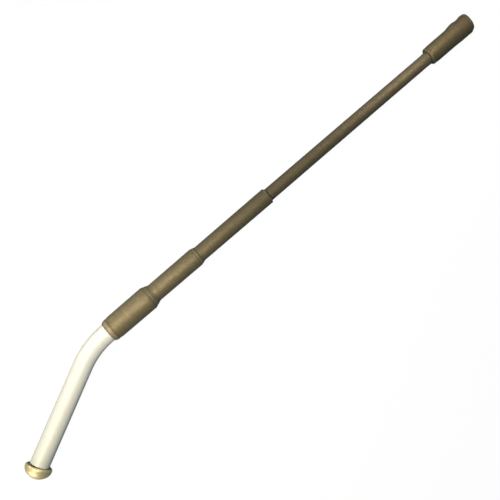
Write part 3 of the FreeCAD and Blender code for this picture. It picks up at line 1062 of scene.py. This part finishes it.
@dataclass
class TipCap(Sleeve):
    """Closed sleeve over the tip. The two pins push its +Y side out like tent poles.

    Turns are in degrees about the rod, from +Z towards +Y. Aside is towards +Y.
    """

    start: float = 203.5
    end: float = 230.1
    radius: float = 4.575
    mouth: tuple[Corner, ...] = (
        (203.5, 3.8),
        (203.85, 4.28),
        (204.3, 4.47),
        (204.95, 4.41),
        (206.0, 4.54),
    )
    ridge: float = 0.3
    ridge_turn: float = 38.0
    ridge_spread: float = 30.0
    ridge_start: float = 1.5
    ridge_rise: float = 8.0
    aside: float = 0.17
    tented_radius: float = 4.7
    tented_aside: float = 0.125
    tent: float = 0.57
    tent_turn: float = 82.0
    tent_spread: float = 42.0
    sag: float = 0.34
    end_radius: float = 4.335
    end_aside: float = 0.77
    end_closing: float = 1.5
    mouth_bore: float = 3.3
    bore: float = 3.895
    bore_end: float = 3.095
    mouth_gap: float = 0.03
    mouth_run: float = 1.0
    mouth_rounding: float = 0.12
    mouth_steps: int = 3
    end_rounding: float = 1.25
    end_steps: int = 8
    skin: float = 0.02
    wall_step: float = 0.25
    segments: int = 96
    finish: SleeveFinish = SleeveFinish(
        "cap_sleeve",
        (0.272, 0.210, 0.099),
        (0.196, 0.151, 0.071),
        (0.238, 0.173, 0.090),
        # Pale tone for scuffs and for painted highlights.
        (0.45, 0.38, 0.25),
        roughness=0.62,
        # Painted highlights on the mouth's rim and the end's rim.
        painted_highlight_bands=(Band(204.2, 0.5, 0.5), Band(229.2, 0.6, 0.4)),
        # Painted shade in the groove behind the mouth.
        painted_shade_bands=(Band(205.0, 0.4, 0.3),),
    )

    def section(self, x: float) -> tuple[float, float, float]:
        """Give the outside's section at a station.

        Args:
            x: The station.

        Returns:
            Its radius, how far its middle stands to +Y and its tent's height.
        """
        layout = self.layout
        pitch = layout.outer_pin - layout.inner_pin
        if x < layout.inner_pin:
            share = max(0.0, (x - layout.inner_pin + pitch) / pitch)
            share = 0.5 - 0.5 * math.cos(math.pi * share)
            return (
                self.radius + (self.tented_radius - self.radius) * share,
                self.aside + (self.tented_aside - self.aside) * share,
                self.tent * share,
            )
        if x < layout.outer_pin:
            dip = self.sag * math.sin(math.pi * (x - layout.inner_pin) / pitch) ** 2
            return self.tented_radius, self.tented_aside, self.tent - dip
        share = (x - layout.outer_pin) / (self.end - layout.outer_pin)
        return (
            self.tented_radius + (self.end_radius - self.tented_radius) * share**self.end_closing,
            self.tented_aside + (self.end_aside - self.tented_aside) * share,
            self.tent * (1.0 - share),
        )

    def raised(self, point: Vector, tent: float) -> float:
        """How far the skin stands out where it is drawn tight over the pins.

        Args:
            point: A point of the plain cap.
            tent: Height of the tent at its station.

        Returns:
            The height over the plain cap.
        """
        turn = math.degrees(math.atan2(point.y, point.z))
        along = (point.x - self.start - self.ridge_start) / self.ridge_rise
        along = min(1.0, max(0.0, along))
        ridge = math.exp(-(((turn - self.ridge_turn) / self.ridge_spread) ** 2))
        return self.ridge * along * ridge + tent * math.exp(
            -(((turn - self.tent_turn) / self.tent_spread) ** 2)
        )

    def end_rim(self, mesh: bmesh.types.BMesh) -> list[bmesh.types.BMEdge]:
        """Find the edges round the closed end, where its flat meets its side.

        Args:
            mesh: The cap's mesh.

        Returns:
            The edges.
        """

        def at_end(verts: Iterable[bmesh.types.BMVert]) -> bool:
            """Whether all corners lie on the end's flat."""
            return all(abs(vert.co.x - self.end) < MERGE for vert in verts)

        rims = []
        for edge in mesh.edges:
            flats = [at_end(face.verts) for face in edge.link_faces]
            if at_end(edge.verts) and len(flats) == 2 and any(flats) and not all(flats):
                rims.append(edge)
        return rims

    def build(self) -> bpy.types.Object:
        """Turn a plain cap, then push each ring out to its section.

        Returns:
            The cap.
        """
        layout = self.layout
        body_start = self.mouth[-1][0]
        lathe = Lathe(self.start, self.mouth_bore)
        for x, radius in self.mouth:
            lathe.line_to(x, radius)
        lathe.line_to(body_start + self.mouth_run, self.radius)
        lathe.line_to(self.end, self.radius, round((self.end - body_start) / self.wall_step))
        lathe.line_to(self.end, 0.0, self.end_steps)
        lathe.line_to(layout.holder_end, 0.0)
        lathe.line_to(layout.holder_end, self.bore_end, 4)
        lathe.line_to(layout.holder_shoulder, self.bore)
        lathe.line_to(layout.jacket_end - self.mouth_gap, self.bore)
        lathe.line_to(layout.jacket_end - self.mouth_gap, self.mouth_bore)
        mesh = lathe.turn(self.segments)
        for x, radius in self.mouth[1:]:
            soften(mesh, rim(mesh, x, radius), self.mouth_rounding, self.mouth_steps)
        for vert in mesh.verts:
            reach = vert.co.yz.length
            outside = reach > self.bore + self.skin or vert.co.x > self.end - MERGE
            if outside and reach > MERGE:
                radius, aside, tent = self.section(vert.co.x)
                grown = (radius + self.raised(vert.co, tent)) / self.radius
                vert.co.y *= grown
                vert.co.z *= grown
            if outside:
                vert.co.y += self.section(vert.co.x)[1]
        soften(mesh, self.end_rim(mesh), self.end_rounding, self.end_steps)
        seal(mesh)
        cap = finish_piece("shrunk_cap", mesh, layout.rod_place())
        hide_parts("tip_cap")
        return cap


@dataclass
class HiddenPieces:
    """The pieces that the sleeves cover, shown as the plain solids."""

    layout: Layout
    finishes: dict[tuple[str, ...], PlainFinish] = field(
        default_factory=lambda: {
            ("coupling",): PlainFinish(
                "turned_aluminium", (0.60, 0.60, 0.60), (0.48, 0.48, 0.49), 1.0, 0.35
            ),
            ("rod_core",): PlainFinish(
                "glass_fibre", (0.50, 0.48, 0.30), (0.42, 0.39, 0.24), 0.0, 0.45
            ),
            ("resistive_film",): PlainFinish(
                "carbon_film", (0.020, 0.020, 0.022), (0.035, 0.035, 0.036), 0.0, 0.6
            ),
            ("point_holder",): PlainFinish(
                "plated_holder", (0.66, 0.64, 0.58), (0.52, 0.50, 0.45), 1.0, 0.32
            ),
            ("inner_discharge_pin", "outer_discharge_pin"): PlainFinish(
                "tungsten", (0.36, 0.36, 0.37), (0.28, 0.28, 0.30), 1.0, 0.3
            ),
        }
    )

    def dress(self, nodes: dict[str, bpy.types.Object], effects: Effects) -> None:
        """Give each hidden node its finish.

        Args:
            nodes: The part's nodes by name.
            effects: The shared effects.
        """
        for names, finish in self.finishes.items():
            material = finish.material(effects, self.layout.rod_place())
            for name in names:
                nodes[name].data.materials.clear()
                nodes[name].data.materials.append(material)
                LOG.info("%s: %s", name, finish.name)


# Studio


@dataclass(frozen=True)
class View:
    """The photograph's viewing angle, as a camera over the rod's start.

    The rod climbs to the right in the picture and falls a little away from the camera.
    """

    layout: Layout
    distance: float = 405.0
    rod_climb: float = 40.7505
    rod_fall: float = 2.9
    start_along: float = -77.253
    start_across: float = 14.222
    focal_pixels: float = 850.0
    frame_pixels: float = 500.0
    film: float = 36.0
    nearest: float = 0.01

    def axes(self) -> tuple[Vector, Vector, Vector]:
        """Work out how the camera is turned.

        Returns:
            Its right, up and back in the part's frame.
        """
        climb, fall = math.radians(self.rod_climb), math.radians(self.rod_fall)
        right, up = math.cos(climb), math.sin(climb)
        along = Vector((right * math.cos(fall), up * math.cos(fall), -math.sin(fall)))
        across = Vector((-up, right, 0.0))
        over = along.cross(across)
        rod = self.layout.rod_place().to_3x3().normalized()
        return tuple(rod @ Vector((along[axis], across[axis], over[axis])) for axis in range(3))

    def eye(self) -> Vector:
        """Work out where the camera stands.

        Returns:
            The place, in metres.
        """
        fall = math.radians(self.rod_fall)
        local = Vector(
            (
                -self.distance * math.sin(fall) - self.start_along,
                -self.start_across,
                self.distance * math.cos(fall),
            )
        )
        return self.layout.rod_place() @ local

    def build(self) -> None:
        """Make the camera and look through it."""
        data = bpy.data.cameras.new("photo_view")
        data.sensor_width = self.film
        data.lens = self.film * self.focal_pixels / self.frame_pixels
        data.clip_start = self.nearest
        camera = add_object("photo_view", data)
        turned = Matrix(self.axes()).transposed().to_4x4()
        camera.matrix_world = Matrix.Translation(self.eye()) @ turned
        bpy.context.scene.camera = camera


@dataclass(frozen=True)
class Softbox:
    """A round lamp in the rod's frame that points at a station of the rod.

    Places and size are in millimetres, over is the height above the rod, power is in watts.
    """

    name: str
    station: float
    across: float
    over: float
    aim: float
    size: float
    power: float
    colour: Colour

    def build(self, layout: Layout) -> None:
        """Hang the lamp and turn it to its aim.

        Args:
            layout: Where the rod runs.
        """
        data = bpy.data.lights.new(self.name, "AREA")
        data.shape = "DISK"
        data.size = self.size * MM
        data.energy = self.power
        data.color = self.colour
        lamp = add_object(self.name, data)
        lamp.visible_camera = False
        place = layout.rod_place() @ Vector((self.station, self.across, self.over))
        target = layout.rod_place() @ Vector((self.aim, 0.0, 0.0))
        turned = (place - target).to_track_quat("Z", "Y").to_matrix().to_4x4()
        lamp.matrix_world = Matrix.Translation(place) @ turned


@dataclass
class Studio:
    """Pale floor, soft lamps, dim surroundings and the camera."""

    layout: Layout
    view: View
    floor_level: float = -6.56
    floor_size: float = 3000.0
    floor_tone: Colour = (0.09, 0.12, 0.15)
    seen_white: float = 1.05
    shadow_share: float = 0.08
    mirrored_share: float = 0.04
    overhead: Colour = (0.025, 0.050, 0.070)
    horizon: Colour = (0.055, 0.12, 0.23)
    horizon_height: float = 0.05
    overhead_height: float = 0.6
    lamps: tuple[Softbox, ...] = (
        Softbox("over_boot", 10.0, 16.0, 130.0, 27.0, 36.0, 0.146, (1.0, 0.97, 0.90)),
        Softbox("over_foot", -95.0, 2.0, 122.0, -60.0, 50.0, 0.080, (1.0, 0.92, 0.68)),
        Softbox("beside_foot", -164.0, -48.0, 30.0, -66.0, 60.0, 0.066, (1.0, 0.97, 0.92)),
        Softbox("left_window", -44.0, 150.0, 60.0, -30.0, 90.0, 0.102, (0.88, 0.93, 1.0)),
        Softbox("tip_window", 215.0, 160.0, 60.0, 200.0, 90.0, 0.044, (0.97, 0.94, 1.0)),
        Softbox("over_tip", 208.0, 24.0, 80.0, 188.0, 26.0, 0.039, (1.0, 0.97, 0.92)),
        Softbox("beyond_tip", 335.0, 12.0, 34.0, 230.0, 40.0, 0.020, (1.0, 0.97, 0.92)),
    )

    def build(self) -> None:
        """Set the whole studio up."""
        self.view.build()
        for lamp in self.lamps:
            lamp.build(self.layout)
        self.lay_floor()
        self.surround()
        bpy.context.scene.view_settings.view_transform = "Standard"

    def lay_floor(self) -> None:
        """Lay a floor, white to the camera and dim to the part, that keeps the part's shadow."""
        mesh = bmesh.new()
        bmesh.ops.create_grid(mesh, x_segments=1, y_segments=1, size=self.floor_size / 2)
        bmesh.ops.translate(mesh, verts=mesh.verts, vec=(0.0, 0.0, self.floor_level))
        bmesh.ops.scale(mesh, verts=mesh.verts, vec=(MM, MM, MM))
        data = bpy.data.meshes.new("floor")
        mesh.to_mesh(data)
        mesh.free()
        floor = add_object("floor", data)
        material = bpy.data.materials.new("pale_floor")
        graph = Graph.fresh(material)
        for_part = graph.add("BsdfDiffuse", {"Color": self.floor_tone})
        for_camera = graph.add("BsdfDiffuse", {"Color": WHITE})
        white = graph.add("Emission", {"Strength": self.seen_white})
        seen = graph.add(
            "MixShader", {0: self.shadow_share, 1: white.outputs[0], 2: for_camera.outputs[0]}
        )
        choice = graph.add(
            "MixShader", {0: self.shown(graph), 1: for_part.outputs[0], 2: seen.outputs[0]}
        )
        graph.add("OutputMaterial", {"Surface": choice.outputs[0]})
        data.materials.append(material)

    def shown(self, graph: Graph) -> bpy.types.NodeSocket:
        """How much of the white background shows.

        Args:
            graph: The floor's or the surroundings' node tree.

        Returns:
            All of it for the camera, a share of it in metal and glass, none for soft light.
        """
        ray = graph.add("LightPath").outputs
        mirrored = graph.math("MAXIMUM", ray["Is Glossy Ray"], ray["Is Transmission Ray"])
        share = graph.math("MULTIPLY", mirrored, self.mirrored_share)
        return graph.math("MAXIMUM", ray["Is Camera Ray"], share)

    def surround(self) -> None:
        """Dim cool surroundings, brighter low down, that are white to the camera."""
        world = bpy.data.worlds.new("surroundings")
        bpy.context.scene.world = world
        graph = Graph.fresh(world)
        toward = graph.add("SeparateXYZ", {0: graph.add("TexCoord").outputs["Generated"]})
        height = graph.ramp(toward.outputs[2], self.horizon_height, self.overhead_height)
        dim = graph.add("Background", {"Color": graph.mix(height, self.horizon, self.overhead)})
        white = graph.add("Background", {"Color": WHITE, "Strength": 1.0})
        choice = graph.add(
            "MixShader", {0: self.shown(graph), 1: dim.outputs[0], 2: white.outputs[0]}
        )
        graph.add("OutputWorld", {"Surface": choice.outputs[0]})


def main() -> None:
    """Build and dress every piece, then the studio."""
    logging.basicConfig(level=logging.INFO, format="%(name)s: %(message)s")
    layout = Layout()
    effects = Effects()
    for part in (MountingFoot, BentTube, Boot, RodJacket, TipCap):
        piece = part(layout)
        piece.dress(piece.build(), effects)
    HiddenPieces(layout).dress(frame["nodes"], effects)
    Studio(layout, View(layout)).build()


if __name__ == "__main__":
    main()
